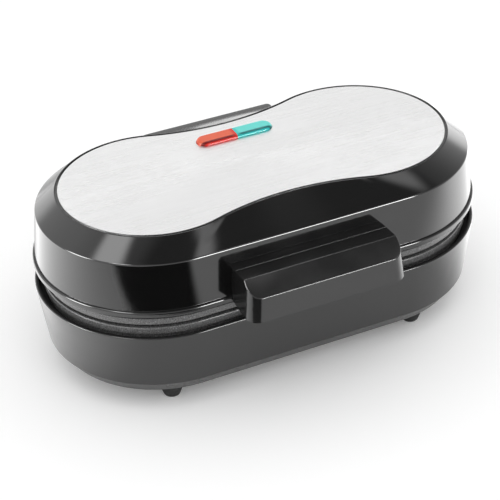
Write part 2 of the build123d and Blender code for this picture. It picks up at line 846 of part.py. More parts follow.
# Lamp window: a domed, hollow lens, made whole and parted into a red and a teal half
with BuildPart() as lens:
    with BuildSketch(level(deck_z - lens_flange_height)):
        with Locations((0, lens_reach)):
            SlotOverall(lens_length, lens_width)
    extrude(amount=top_z + lens_dome - deck_z + lens_flange_height)
    fillet(lens.edges().group_by(Axis.Z)[-1], lens_dome)
    with BuildSketch(level(deck_z - lens_flange_height)):
        with Locations((0, lens_reach)):
            SlotOverall(lens_length + 2 * lens_flange, lens_width + 2 * lens_flange)
    extrude(amount=lens_flange_height)
    with BuildSketch(level(deck_z - lens_flange_height)):
        with Locations((0, lens_reach)):
            SlotOverall(lens_length - 2 * lens_shell, lens_width - 2 * lens_shell)
            Rectangle(2 * lens_shell, lens_width, mode=Mode.SUBTRACT)
    extrude(amount=top_z + lens_dome - lens_shell - deck_z + lens_flange_height, mode=Mode.SUBTRACT)

with BuildPart() as red_lens:
    add(lens.part)
    split(bisect_by=Plane.YZ, keep=Keep.BOTTOM)
red_lens.part.label = "red_lens"

with BuildPart() as teal_lens:
    add(lens.part)
    split(bisect_by=Plane.YZ, keep=Keep.TOP)
teal_lens.part.label = "teal_lens"

lens_seat = lens_flange + lens_slack
bay_width = holder_width - 2 * (lens_flange + holder_margin) + 2 * lens_slack
bay_length = (lens_length - holder_wall) / 2 - 2 * lens_shell
bay_x = (bay_length + holder_wall) / 2
bay_floor_z = deck_z - holder_height + holder_wall
with BuildPart() as lamp_holder:
    with BuildSketch(level(deck_z - holder_height)):
        with Locations((0, lens_reach)):
            SlotOverall(holder_length, holder_width)
    extrude(amount=holder_height)
    with BuildSketch(level(deck_z - lamp_boss_height - holder_wall)):
        with Locations((0, lens_reach)):
            SlotOverall(holder_length + 2 * holder_tab, holder_width / 2)
    extrude(amount=holder_wall)
    with BuildSketch(level(deck_z - lens_flange_height)):
        with Locations((0, lens_reach)):
            SlotOverall(lens_length + 2 * lens_seat, lens_width + 2 * lens_seat)
    extrude(amount=lens_flange_height, mode=Mode.SUBTRACT)
    with BuildSketch(level(bay_floor_z)):
        with Locations((-bay_x, lens_reach), (bay_x, lens_reach)):
            Rectangle(bay_length, bay_width)
    extrude(amount=holder_height - holder_wall, mode=Mode.SUBTRACT)
    with BuildSketch(level(deck_z - lamp_boss_height - holder_wall)):
        with Locations(*holder_spots):
            Circle(m3_radius + screw_slack)
    extrude(amount=holder_wall, mode=Mode.SUBTRACT)
lamp_holder.part.label = "lamp_holder"


def neon_lamp(x):
    """A glass bulb that lies along the bay at x, its two leads in line with it."""
    start = x - lamp_length / 2
    with BuildPart() as lamp:
        with BuildSketch(side(start)):
            with Locations((lens_reach, bay_floor_z + lamp_radius)):
                Circle(lamp_radius)
        extrude(amount=lamp_length)
        fillet(lamp.edges().filter_by(GeomType.CIRCLE), lamp_rounding)
        with BuildSketch(side(start - lamp_lead_length)):
            with Locations((lens_reach, bay_floor_z + lamp_radius)):
                Circle(lamp_lead_radius)
        extrude(amount=lamp_length + 2 * lamp_lead_length)
    return lamp.part


# Handle: a drafted hood whose top is cut by a side profile
handle_root = crease_radius - 4 * shell_wall
handle_lip_height = handle_crest_height - handle_brow_drop
front_slope = (handle_reach - handle_lip_reach) / (handle_lip_height - handle_bottom_front)


def handle_outline(z, inset):
    """The handle's plan at height z, drawn in by an inset, with its square end inside the lid's wall."""
    half = handle_half_width + (handle_crest_height - z) * tan(radians(handle_side_draft)) - inset
    reach = handle_reach - (z - handle_bottom_front) * front_slope - inset
    corner = handle_corner - inset
    turn = corner - reach
    with BuildSketch(level(z)) as outline:
        with BuildLine():
            Polyline((-half, turn), (-half, -handle_root), (half, -handle_root), (half, turn))
            Line((-half + corner, -reach), (half - corner, -reach))
            RadiusArc((-half, turn), (-half + corner, -reach), -corner)
            RadiusArc((half - corner, -reach), (half, turn), -corner)
        make_face()
    return outline.sketch


def handle_form(inset, below):
    """The handle's outer shape, or its hollow when drawn in by an inset, down to a height below it."""
    brow_slope = handle_brow_drop / (handle_lip_reach - handle_top_reach)
    top_slope = handle_rear_drop / (handle_top_reach - handle_root_reach)
    foot_slope = (handle_bottom_rear - handle_bottom_front) / (handle_reach - lid_mouth_radius)
    beyond = handle_reach + handle_corner
    crest = handle_crest_height - inset
    with BuildPart() as form:
        loft([handle_outline(below, inset), handle_outline(handle_crest_height, inset)], ruled=True)
        with BuildSketch(side(0)):
            with BuildLine():
                Polyline(
                    (-handle_root, crest - (handle_top_reach - handle_root) * top_slope),
                    (-handle_top_reach, crest),
                    (-beyond, crest - (beyond - handle_top_reach) * brow_slope),
                    (-beyond, below),
                    (-handle_reach, below),
                    (-handle_root, below + (handle_reach - handle_root) * foot_slope),
                    close=True,
                )
            make_face()
        extrude(amount=2 * handle_half_width, both=True, mode=Mode.INTERSECT)
    return form.part


with BuildPart() as handle:
    add(handle_form(0.0, handle_bottom_front))
    upper_edges = handle.edges().filter_by_position(Axis.Z, handle_lip_height - handle_edge, top_z)
    outer_edges = upper_edges.filter_by_position(Axis.Y, shell_y - handle_reach, shell_y - handle_root_reach)
    fillet(outer_edges, handle_edge)
    add(handle_form(handle_wall, 2 * handle_bottom_front - handle_crest_height), mode=Mode.SUBTRACT)
    # Posts for the two screws that come through the lid's wall
    with BuildSketch(front(crease_radius)):
        with Locations(*handle_spots):
            Circle(handle_post_radius)
        for x, z in handle_spots:
            with Locations((x, z)):
                Rectangle(
                    handle_wall,
                    handle_post_drop - handle_rear_drop - handle_wall / 2,
                    align=(Align.CENTER, Align.MIN),
                )
    extrude(amount=handle_post_reach - crease_radius)
    with BuildSketch(front(crease_radius)):
        with Locations(*handle_spots):
            Circle(m3_radius)
    extrude(amount=handle_screw_bite + lid_mouth_radius - crease_radius, mode=Mode.SUBTRACT)
    # The rear follows the lid's wall, notched over the bead
    wall_below = (mouth_z - bead_height, crease_radius + (crease_z - mouth_z + bead_height) * lid_slope)
    wall_above = (top_z, crease_radius - bevel_height * lid_slope)
    add(slot_form(wall_below, wall_above), mode=Mode.SUBTRACT)
    with BuildSketch(level(mouth_z - bead_height)):
        SlotCenterToCenter(lobe_spacing, 2 * (lid_mouth_radius + bead_stand + bead_slack))
    extrude(amount=2 * bead_height + bead_slack, mode=Mode.SUBTRACT)
handle.part.label = "handle"


# Hinge pins, headed outside the ears
def hinge_pin(sx):
    """A headed pin for one end of the barrel: sx is -1 at the left and 1 at the right."""
    with BuildPart() as pin:
        with BuildSketch(side(sx * ear_outer_x)):
            with Locations((hinge_reach, hinge_z)):
                Circle(pin_head_radius)
        extrude(amount=sx * pin_head_height)
        fillet(pin.edges().sort_by(Axis.X)[0 if sx < 0 else -1], pin_head_height / 2)
        with BuildSketch(side(sx * ear_outer_x)):
            with Locations((hinge_reach, hinge_z)):
                Circle(pin_radius)
        extrude(amount=-sx * (ear_width + ear_gap + pin_depth))
    return pin.part


# Thermostat, fuse, terminal block and cord outlet
deck_underside_z = lower_face_z - deck_bottom
with BuildPart() as plate_thermostat:
    with BuildSketch(level(deck_underside_z)):
        SlotOverall(2 * thermostat_ear, thermostat_radius)
    extrude(amount=-thermostat_flange)
    with BuildSketch(level(deck_underside_z)):
        Circle(thermostat_radius)
    extrude(amount=-thermostat_height)
    fillet(plate_thermostat.edges().filter_by(GeomType.CIRCLE).group_by(Axis.Z)[0], thermostat_rounding)
    with BuildSketch(level(deck_underside_z - thermostat_height)):
        with Locations((0, -thermostat_radius / 2), (0, thermostat_radius / 2)):
            Rectangle(blade_width, blade_thickness)
    extrude(amount=-blade_length)
plate_thermostat.part.label = "plate_thermostat"

with BuildPart() as thermal_fuse:
    with BuildSketch(side(-fuse_length / 2)):
        with Locations((-fuse_reach, deck_underside_z - fuse_radius - fuse_clip)):
            Circle(fuse_radius)
    extrude(amount=fuse_length)
    fillet(thermal_fuse.edges().filter_by(GeomType.CIRCLE), fuse_rounding)
    with BuildSketch(side(-fuse_length)):
        with Locations((-fuse_reach, deck_underside_z - fuse_radius - fuse_clip)):
            Circle(lamp_lead_radius)
    extrude(amount=2 * fuse_length)
thermal_fuse.part.label = "thermal_fuse"

with BuildPart() as fuse_strap:
    with BuildSketch(side(0)):
        with Locations((-fuse_reach, deck_underside_z - fuse_clip / 2)):
            Rectangle(fuse_length, fuse_clip)
        with Locations((-fuse_reach, deck_underside_z - fuse_radius - fuse_clip)):
            Circle(fuse_radius + fuse_clip)
            Circle(fuse_radius, mode=Mode.SUBTRACT)
    extrude(amount=fuse_clip_half_width, both=True)
fuse_strap.part.label = "fuse_strap"

terminal_axis = Plane(
    origin=(terminal_block_x, shell_y + terminal_block_y, floor_z + terminal_block_height / 2),
    x_dir=(1, 0, 0),
    z_dir=(0, 1, 0),
)
with BuildPart() as terminal_block:
    with BuildSketch(level(floor_z)):
        with Locations((terminal_block_x, terminal_block_y)):
            RectangleRounded(3 * terminal_pitch, terminal_block_width, terminal_rounding)
    extrude(amount=terminal_block_height / 2)
    with BuildSketch(level(floor_z + terminal_block_height / 2)):
        with Locations((terminal_block_x, terminal_block_y)):
            with GridLocations(terminal_pitch, 0, 3, 1):
                RectangleRounded(terminal_tower_length, terminal_tower_width, terminal_rounding)
    extrude(amount=terminal_block_height / 2)
    with BuildSketch(terminal_axis):
        with GridLocations(terminal_pitch, 0, 3, 1):
            Circle(terminal_bore)
    extrude(amount=terminal_block_width / 2, both=True, mode=Mode.SUBTRACT)
terminal_block.part.label = "terminal_block"

with BuildPart() as terminal_sleeves:
    with BuildSketch(terminal_axis):
        with GridLocations(terminal_pitch, 0, 3, 1):
            Circle(terminal_bore)
            Circle(terminal_bore - sleeve_wall, mode=Mode.SUBTRACT)
    extrude(amount=terminal_block_width / 2 - sleeve_inset, both=True)
terminal_sleeves.part.label = "terminal_sleeves"

with BuildPart() as cord_outlet_bushing:
    with BuildSketch(outlet(outlet_reach)):
        Circle(outlet_flange_radius)
    extrude(amount=outlet_flange)
    with BuildSketch(outlet(outlet_reach + outlet_flange)):
        Circle(outlet_barrel_radius)
    extrude(amount=outlet_taper_length, taper=outlet_taper)
    with BuildSketch(outlet(outlet_reach)):
        Circle(outlet_barrel_radius)
    extrude(amount=outlet_root - outlet_reach)
    with BuildSketch(outlet(outlet_root)):
        Circle(outlet_bore_radius)
    extrude(amount=outlet_reach + outlet_flange + outlet_taper_length - outlet_root, mode=Mode.SUBTRACT)
cord_outlet_bushing.part.label = "cord_outlet_bushing"

# Screws
m3_pan = screw(m3_radius, plate_screw_length, m3_head)
cover_screw = screw(m3_radius, cover_screw_length, m3_head)
plate_screw = countersunk_screw(m4_radius, upper_screw_length, m4_head)
holder_screw = screw(m3_radius, holder_wall + lamp_boss_height - screw_end_gap, m3_head)
handle_screw = screw(m3_radius, handle_screw_length, m3_head)
wall_reach = crease_radius + (crease_z - handle_post_height) * lid_slope
seat_y = shell_wall + handle_screw_stand - wall_reach

with BuildPart() as cover_screws:
    add(group_at(cover_screw, level(cover_bottom_z + head_height + head_sink), cover_spots, flip=True))
cover_screws.part.label = "cover_screws"

with BuildPart() as lower_plate_screws:
    add(group_at(m3_pan, level(ledge_top_z - ledge_height), lower_plate_spots, flip=True))
lower_plate_screws.part.label = "lower_plate_screws"

with BuildPart() as lower_reflector_screws:
    lower_tray_z = lower_face_z - reflector_post_drop - reflector_sheet
    add(group_at(m3_pan, level(lower_tray_z), reflector_posts, flip=True))
lower_reflector_screws.part.label = "lower_reflector_screws"

with BuildPart() as upper_reflector_screws:
    add(group_at(m3_pan, level(upper_face_z + reflector_post_drop + reflector_sheet), reflector_posts))
upper_reflector_screws.part.label = "upper_reflector_screws"

with BuildPart() as upper_plate_screws:
    add(group_at(plate_screw, level(upper_face_z + plate_rim_height), upper_plate_spots, flip=True))
upper_plate_screws.part.label = "upper_plate_screws"

with BuildPart() as lamp_holder_screws:
    add(group_at(holder_screw, level(deck_z - lamp_boss_height - holder_wall), holder_spots, flip=True))
lamp_holder_screws.part.label = "lamp_holder_screws"

with BuildPart() as handle_screws:
    for x, z in handle_spots:
        add(handle_screw.moved(Location((x, shell_y + seat_y, z)) * Rotation(-90, 0, 0)))
handle_screws.part.label = "handle_screws"

# Write one file for each piece
pieces = [
    base_housing,
    base_bottom_cover,
    lower_cooking_plate,
    lower_heating_element,
    lower_reflector,
    plate_thermostat,
    thermal_fuse,
    fuse_strap,
    terminal_block,
    terminal_sleeves,
    cord_outlet_bushing,
    cover_screws,
    lower_plate_screws,
    lower_reflector_screws,
    lid_housing,
    top_inlay,
    red_lens,
    teal_lens,
    lamp_holder,
    lamp_holder_screws,
    upper_cooking_plate,
    upper_heating_element,
    upper_reflector,
    upper_reflector_screws,
    upper_plate_screws,
    handle,
    handle_screws,
]
named = {piece.part.label: piece.part for piece in pieces}
for name, (sx, sy) in foot_names.items():
    named[name] = foot.part.moved(Location((sx * foot_x, shell_y + sy * foot_y, 0)))
named["hinge_pin_left"] = hinge_pin(-1)
named["hinge_pin_right"] = hinge_pin(1)
named["red_neon_lamp"] = neon_lamp(-bay_x)
named["teal_neon_lamp"] = neon_lamp(bay_x)
for name, solid in named.items():
    solid.label = name
    export_step(solid, f"parts/{name}.step")
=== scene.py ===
"""The looks of a double omelette maker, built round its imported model. Metres, +Z up."""
import json
from math import acos, atan2, cos, pi, radians, sin, tan

import bpy
from mathutils import Matrix, Vector


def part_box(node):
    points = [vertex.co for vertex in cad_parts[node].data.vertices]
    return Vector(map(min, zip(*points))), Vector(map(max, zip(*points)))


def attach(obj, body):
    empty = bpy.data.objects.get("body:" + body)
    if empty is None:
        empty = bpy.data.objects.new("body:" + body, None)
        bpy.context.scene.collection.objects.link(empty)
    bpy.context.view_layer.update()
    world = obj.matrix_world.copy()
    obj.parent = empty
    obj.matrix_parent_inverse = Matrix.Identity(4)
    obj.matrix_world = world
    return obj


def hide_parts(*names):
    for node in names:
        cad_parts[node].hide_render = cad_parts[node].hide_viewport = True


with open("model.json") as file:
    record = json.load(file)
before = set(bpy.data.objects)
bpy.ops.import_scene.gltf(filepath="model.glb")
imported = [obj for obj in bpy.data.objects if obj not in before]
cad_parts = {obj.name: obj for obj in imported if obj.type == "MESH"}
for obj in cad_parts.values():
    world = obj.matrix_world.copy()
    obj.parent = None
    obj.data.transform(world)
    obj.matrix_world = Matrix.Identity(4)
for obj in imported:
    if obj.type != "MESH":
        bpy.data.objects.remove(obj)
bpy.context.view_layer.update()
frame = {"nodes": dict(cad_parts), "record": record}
nodes = frame["nodes"]
scene = bpy.context.scene
mm = 0.001

# The shells' outlines, as in the model: a slot round two lobes, and a waisted shape at the lid's top
shell_centre_y = (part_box("top_inlay")[0].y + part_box("top_inlay")[1].y) / 2
lobe_centre = 76.0 * mm
inlay_centre = 75.5 * mm
inlay_lobe = 63.0 * mm
inlay_waist = 50.2 * mm
inlay_gap = 1.3 * mm
lip_width = 0.9 * mm
seat_width = 5.0 * mm
lid_wall = 2.5 * mm
wall_slope = 0.0961
bead_radius = 83.9 * mm
crease_radius = 79.0 * mm
ledge_radius = 69.0 * mm
base_rim_radius = 84.3 * mm
base_rim_z = 66.0 * mm
base_slope = 0.128

# Heights in the lid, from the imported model
barrel_drop = 11.5 * mm
crease_drop = 12.4 * mm
bead_height = 4.9 * mm
deck_thickness = 2.5 * mm
plate_rise = 11.6 * mm
ledge_height = 2.5 * mm
mouth_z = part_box("lid_housing")[0].z + barrel_drop
top_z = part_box("lid_housing")[1].z
crease_z = top_z - crease_drop
bead_top_z = mouth_z + bead_height
pocket_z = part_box("top_inlay")[0].z
deck_z = pocket_z - deck_thickness
lid_ledge_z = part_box("upper_cooking_plate")[0].z + plate_rise

# The hinge block: its shelf runs back from the crease, and its barrel turns round the pins
block_half = 50.0 * mm
block_corner = 3.0 * mm
block_bevel = 0.4 * mm
block_bevel_angle = radians(50)
shelf_reach = 4.9 * mm
shelf_rounding = 0.8 * mm
barrel_radius = 7.0 * mm
barrel_start = radians(12)
barrel_finish = radians(-148)
block_foot_reach = 81.0 * mm
block_foot_rise = 3.0 * mm

# The seam round the handle's root
seam_reach = 85.2 * mm
seam_drop = 0.8 * mm
seam_foot = 4.0 * mm
seam_corner = 0.9 * mm
seam_radius = 0.14 * mm
handle_draft = radians(5.6)

# Fineness of the modelled meshes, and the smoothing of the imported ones
lobe_steps = 44
waist_steps = 26
corner_steps = 5
barrel_steps = 24
bevel_steps = 3
seam_steps = 3
support = 0.35 * mm
smooth_angle = radians(28)
weld_distance = 1e-6

# The base's faces inside its drafted wall are matt, from a band just behind the wall inwards
inside_roughness = 0.6
inside_specular = 0.08
plain_specular = 0.5
band_start = 0.9 * mm
band_end = 1.5 * mm

# Metals: the inlay's grain, the spread of roughness, and the speckle of the plates' coating
grain_across = 2600.0
grain_along = 22.0
grain_shade = 0.94
metal_haze = 0.12
smudge_haze = 0.06
speckle_shades = ((0.42, 0.09), (0.6, 0.15), (0.7, 0.34))

# Lens colours: body, then painted shade: a deeper colour at the rim and a dark streak along the front,
# and where the ends turn to the painted rim shade
red_body_and_painted_shades = ((0.9, 0.15, 0.07), (0.85, 0.03, 0.02), (0.2, 0.01, 0.008))
teal_body_and_painted_shades = ((0.16, 0.82, 0.75), (0.03, 0.62, 0.6), (0.03, 0.2, 0.2))
painted_lens_end_shade = ((0.0, 1.0), (0.1, 0.0), (0.88, 0.0), (0.98, 1.0))

# Camera, as it stands in the photograph
camera_azimuth = radians(-23.84)
camera_elevation = radians(33.56)
camera_roll = radians(-2.33)
camera_distance = 1.2296
camera_target = Vector((0.00256, 0.02643, 0.04249))
camera_lens = 123.4
camera_sensor = 36.0

# Floor: round and white, a little brighter to the camera, and clear towards its edge
floor_radius = 1.6
floor_fade = 0.5
floor_sides = 96
floor_shade = 0.96
floor_lift = 0.12

# Room: an even light, and in gloss a white that darkens towards one place above the camera's right
room_light = 0.9
dark_azimuth = radians(35)
dark_elevation = radians(65)
room_shades = [(0.0, 1.0), (0.3, 0.94), (0.59, 0.6), (0.75, 0.4), (0.85, 0.3), (0.92, 0.1)]

# Softboxes: name, azimuth and elevation, span across and upwards, soft edges, all in degrees, strength
softbox_distance = 3.0
softboxes = [
    ("left_softbox", (-79, 55), (25, 24), (8, 8), 3.1),
    ("left_strip", (-95, 20), (30, 30), (10, 5), 13),
    ("corner_lamp", (-58, 40), (18, 14), (4, 4), 11),
    ("right_softbox", (36, 48), (42, 16), (15, 7), 1.2),
    ("front_strip", (21, 11), (30, 22), (11, 3), 20),
    ("edge_strip", (150, 65), (30, 14), (5, 4), 5.5),
    ("left_backlight", (-165, 0), (54, 40), (14, 14), 2.0),
    ("right_backlight", (137, 2), (66, 34), (20, 12), 2.7),
]

# The small softbox above the handle, which is turned to the left lobe's bevel
near_place = Vector((0.045, shell_centre_y - 0.172, 0.355))
near_target = Vector((-lobe_centre, shell_centre_y - 0.06, 0.12))
near_size = (0.085, 0.1)
near_soft = (0.035, 0.035)
near_strength = 1.4

# Panels over the floor: name, two corners from the shells' centre, height, soft edges, strength
reflector_z = 0.0004
card_z = 0.0012
floor_panels = [
    ("left_reflector", (-1.05, -0.3), (-0.13, 1.2), reflector_z, (0.08, 0.7), 3.4),
    ("right_reflector", (0.13, -0.3), (1.2, 0.7), reflector_z, (0.12, 0.25), 2.7),
    ("card", (-0.43, -0.95), (-0.012, -0.178), card_z, (0.045, 0.035), 0),
]

# The one lamp
lamp_azimuth = radians(-20)
lamp_elevation = radians(60)
lamp_distance = 1.6
lamp_size = 1.0
lamp_power = 4


class Nodes:
    """A short way to write one material's or the world's shader nodes."""

    def __init__(self, tree):
        self.tree = tree
        self.tree.nodes.clear()

    def add(self, kind, *values, **settings):
        """A node: values fill its inputs in turn, and a setting is an input's or a property's name."""
        node = self.tree.nodes.new(kind)
        inputs = {}
        for socket in node.inputs:
            inputs.setdefault(socket.name.lower().replace(" ", "_"), socket)
        for key, value in settings.items():
            if key in inputs:
                self.fill(inputs[key], value)
            else:
                setattr(node, key, value)
        for socket, value in zip(node.inputs, values):
            self.fill(socket, value)
        return node

    def fill(self, socket, value):
        """Sets an input to a plain value, or links another socket to it."""
        if isinstance(value, bpy.types.NodeSocket):
            self.tree.links.new(value, socket)
        else:
            socket.default_value = value

    def place(self, scale=None):
        """The object's own coordinates, stretched if a scale is given."""
        place = self.add("ShaderNodeTexCoord").outputs["Object"]
        if scale is None:
            return place
        return self.add("ShaderNodeMapping", vector=place, scale=scale).outputs["Vector"]

    def axes(self, vector):
        """A vector's three parts, by their letters."""
        return self.add("ShaderNodeSeparateXYZ", vector=vector).outputs

    def noise(self, vector, scale, detail, roughness=0.5):
        settings = {"scale": scale, "detail": detail, "roughness": roughness}
        return self.add("ShaderNodeTexNoise", vector=vector, **settings).outputs["Fac"]

    def ramp(self, fac, *stops):
        """A colour ramp through (position, grey or colour) stops."""
        node = self.add("ShaderNodeValToRGB", fac=fac)
        elements = node.color_ramp.elements
        while len(elements) < len(stops):
            elements.new(0.5)
        for element, (position, shade) in zip(elements, stops):
            element.position = position
            colour = (shade,) * 3 if isinstance(shade, (int, float)) else shade
            element.color = (*colour, 1)
        return node.outputs["Color"]

    def spread(self, value, low, high, start=0.35, end=0.65, curve="LINEAR"):
        """Maps a value from start to end onto low to high."""
        spans = {"from_min": start, "from_max": end, "to_min": low, "to_max": high}
        node = self.add("ShaderNodeMapRange", interpolation_type=curve, value=value, **spans)
        return node.outputs["Result"]

    def math(self, operation, *values, **settings):
        return self.add("ShaderNodeMath", *values, operation=operation, **settings).outputs["Value"]

    def vector_math(self, operation, *values):
        """A vector from vectors, or a number for a length or a dot product."""
        node = self.add("ShaderNodeVectorMath", *values, operation=operation)
        return node.outputs["Value" if operation in ("LENGTH", "DOT_PRODUCT") else "Vector"]

    def mix(self, factor, first, second):
        """A colour between two, each a socket or a plain colour. Inputs 6 and 7 take colours."""
        node = self.add("ShaderNodeMix", data_type="RGBA", factor=factor)
        for socket, colour in ((node.inputs[6], first), (node.inputs[7], second)):
            plain = not isinstance(colour, bpy.types.NodeSocket)
            self.fill(socket, (*colour, 1) if plain else colour)
        return node.outputs[2]

    def mix_numbers(self, factor, first, second):
        """A number between two. Inputs 2 and 3 take numbers."""
        node = self.add("ShaderNodeMix", data_type="FLOAT", factor=factor)
        self.fill(node.inputs[2], first)
        self.fill(node.inputs[3], second)
        return node.outputs[0]

    def mix_shaders(self, factor, first, second):
        return self.add("ShaderNodeMixShader", factor, first, second).outputs["Shader"]

    def bump(self, height, depth):
        return self.add("ShaderNodeBump", height=height, distance=depth).outputs["Normal"]

    def principled(self, **inputs):
        """Ends a material's nodes with a principled shader."""
        self.surface(self.add("ShaderNodeBsdfPrincipled", **inputs).outputs["BSDF"])

    def surface(self, shader, kind="ShaderNodeOutputMaterial"):
        self.add(kind, surface=shader)


def new_material(name):
    """A material and its nodes, still to be written."""
    material = bpy.data.materials.new(name)
    material.use_nodes = True
    return material, Nodes(material.node_tree)


def coat(item, material):
    """Gives an object one material."""
    item.data.materials.clear()
    item.data.materials.append(material)


def outer_face(tree):
    """1 on the base's drafted outer wall and 0 on all that lies inside it."""
    place = tree.place()
    spot = tree.vector_math("SUBTRACT", place, (0, shell_centre_y, 0))
    spot = tree.vector_math("ABSOLUTE", spot)
    spot = tree.vector_math("SUBTRACT", spot, (lobe_centre, 0, 0))
    spot = tree.vector_math("MAXIMUM", spot, (0, 0, 0))
    spot = tree.vector_math("MULTIPLY", spot, (1, 1, 0))
    radius = tree.vector_math("LENGTH", spot)
    drafted = tree.math("MULTIPLY_ADD", tree.axes(place)["Z"], -base_slope, radius)
    outer = base_rim_radius - base_slope * base_rim_z
    return tree.spread(drafted, 0.0, 1.0, outer - band_end, outer - band_start)


def moulded_plastic(name, shade, roughness, haze, peel, index, matt_inside=False):
    """Black moulded plastic: a faint haze in its gloss and a little orange peel."""
    material, tree = new_material(name)
    place = tree.place()
    gloss = tree.spread(tree.noise(place, scale=38.0, detail=5.0), roughness, roughness + haze)
    specular = plain_specular
    if matt_inside:
        outside = outer_face(tree)
        gloss = tree.mix_numbers(outside, inside_roughness, gloss)
        specular = tree.spread(outside, inside_specular, plain_specular, 0.0, 1.0)
    orange_peel = tree.noise(place, scale=420.0, detail=2.0)
    tree.principled(
        base_color=(shade, shade, shade, 1),
        roughness=gloss,
        ior=index,
        specular_ior_level=specular,
        normal=tree.bump(orange_peel, depth=peel),
    )
    return material


def brushed_steel(name, colour, roughness, along):
    """Steel with fine straight grain along one axis and a few faint smudges."""
    material, tree = new_material(name)
    grain_scale = [grain_across] * 3
    grain_scale[along] = grain_along
    grain = tree.noise(tree.place(grain_scale), scale=1.0, detail=3.0, roughness=0.6)
    smudge = tree.noise(tree.place(), scale=24.0, detail=3.0)
    shade = tree.ramp(grain, (0.3, [grain_shade * part for part in colour]), (0.7, colour))
    scratched = tree.spread(grain, roughness, roughness + metal_haze)
    gloss = tree.math("ADD", scratched, tree.spread(smudge, 0.0, smudge_haze))
    skin = tree.bump(grain, depth=0.00001)
    tree.principled(base_color=shade, metallic=1.0, roughness=gloss, anisotropic=0.4, normal=skin)
    return material


def plain_metal(name, colour, roughness):
    """Sheet or turned metal with slight clouding."""
    material, tree = new_material(name)
    cloud = tree.noise(tree.place(), scale=160.0, detail=4.0)
    gloss = tree.spread(cloud, roughness, roughness + metal_haze)
    tree.principled(base_color=(*colour, 1), metallic=1.0, roughness=gloss)
    return material


def coated_metal(name):
    """Dark non-stick coating with a fine lighter speckle."""
    material, tree = new_material(name)
    speckle = tree.noise(tree.place(), scale=1200.0, detail=2.0, roughness=0.7)
    shade = tree.ramp(speckle, *speckle_shades)
    gloss = tree.spread(speckle, 0.25, 0.38)
    skin = tree.bump(speckle, depth=0.00004)
    tree.principled(base_color=shade, roughness=gloss, ior=1.65, normal=skin)
    return material


def soft_rubber(name):
    """Matt black rubber with a fine grain."""
    material, tree = new_material(name)
    grain = tree.noise(tree.place(), scale=1500.0, detail=2.0)
    gloss = tree.spread(grain, 0.55, 0.75)
    skin = tree.bump(grain, depth=0.00005)
    tree.principled(base_color=(0.016, 0.016, 0.016, 1), roughness=gloss, normal=skin)
    return material


def matt_plastic(name, colour):
    """Plain matt plastic with slight clouding."""
    material, tree = new_material(name)
    cloud = tree.noise(tree.place(), scale=220.0, detail=3.0)
    tree.principled(base_color=(*colour, 1), roughness=tree.spread(cloud, 0.4, 0.55))
    return material


def clear_plastic(name, colour):
    """Tinted translucent plastic."""
    material, tree = new_material(name)
    cloud = tree.noise(tree.place(), scale=300.0, detail=2.0)
    gloss = tree.spread(cloud, 0.05, 0.1)
    tree.principled(base_color=(*colour, 1), roughness=gloss, transmission_weight=0.3)
    return material


def lens_plastic(name, body, painted_rim_shade, painted_streak_shade):
    """Translucent lens plastic with painted shade: a deeper colour at its rim and ends, and a dark
    streak along its front.
    """
    material, tree = new_material(name)
    low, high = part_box(name)
    place = tree.axes(tree.place())
    across = tree.spread(place["Y"], 0.0, 1.0, low.y, high.y)
    along = tree.spread(place["X"], 0.0, 1.0, low.x, high.x)
    # Painted shade across the lens: the rim colour at the front edge, a dark streak just behind it, the
    # body, then the rim colour again at the back
    front = ((0.0, painted_rim_shade), (0.15, painted_rim_shade), (0.18, painted_streak_shade), (0.25, painted_streak_shade))
    stripes_with_painted_shade = tree.ramp(across, *front, (0.29, body), (0.84, body), (0.92, painted_rim_shade))
    # The lens's ends also turn to the painted rim shade
    shade = tree.mix(tree.ramp(along, *painted_lens_end_shade), stripes_with_painted_shade, painted_rim_shade)
    gloss = tree.spread(tree.noise(tree.place(), scale=300.0, detail=2.0), 0.14, 0.22)
    tree.principled(base_color=shade, roughness=gloss, specular_ior_level=0.25, transmission_weight=0.2)
    return material


def direction(azimuth, elevation):
    """The way from the object towards a place at an azimuth, seen from the front, and an elevation."""
    level = cos(elevation)
    return Vector((sin(azimuth) * level, -cos(azimuth) * level, sin(elevation)))


def add_object(name, data):
    """A new object in the scene."""
    item = bpy.data.objects.new(name, data)
    scene.collection.objects.link(item)
    return item


def add_mesh(name, points, faces):
    """A new object in the scene with a mesh of these points and faces."""
    mesh = bpy.data.meshes.new(name)
    mesh.from_pydata(points, [], faces)
    return add_object(name, mesh)


def make_camera():
    """The camera at the photograph's viewing angle."""
    back = direction(camera_azimuth, camera_elevation)
    flat_right = Vector((cos(camera_azimuth), sin(camera_azimuth), 0))
    flat_up = back.cross(flat_right)
    right = flat_right * cos(camera_roll) + flat_up * sin(camera_roll)
    up = flat_up * cos(camera_roll) - flat_right * sin(camera_roll)
    data = bpy.data.cameras.new("camera")
    data.lens = camera_lens
    data.sensor_width = camera_sensor
    camera = add_object("camera", data)
    turn = Matrix((right, up, back)).transposed().to_4x4()
    camera.matrix_world = Matrix.Translation(camera_target + back * camera_distance) @ turn
    scene.camera = camera


def make_world():
    """The room: it lights evenly, shows white behind the object and has its own shades in gloss."""
    world = bpy.data.worlds.new("studio")
    scene.world = world
    world.use_nodes = True
    tree = Nodes(world.node_tree)
    ray = tree.add("ShaderNodeLightPath").outputs
    seen = tree.math("ADD", ray["Is Camera Ray"], ray["Is Transmission Ray"], use_clamp=True)
    way = tree.add("ShaderNodeTexCoord").outputs["Generated"]
    toward = tree.vector_math("DOT_PRODUCT", way, direction(dark_azimuth, dark_elevation))
    lit = tree.mix(ray["Is Glossy Ray"], (room_light,) * 3, tree.ramp(toward, *room_shades))
    shown = tree.mix(seen, lit, (1, 1, 1))
    background = tree.add("ShaderNodeBackground", color=shown)
    tree.surface(background.outputs["Background"], "ShaderNodeOutputWorld")


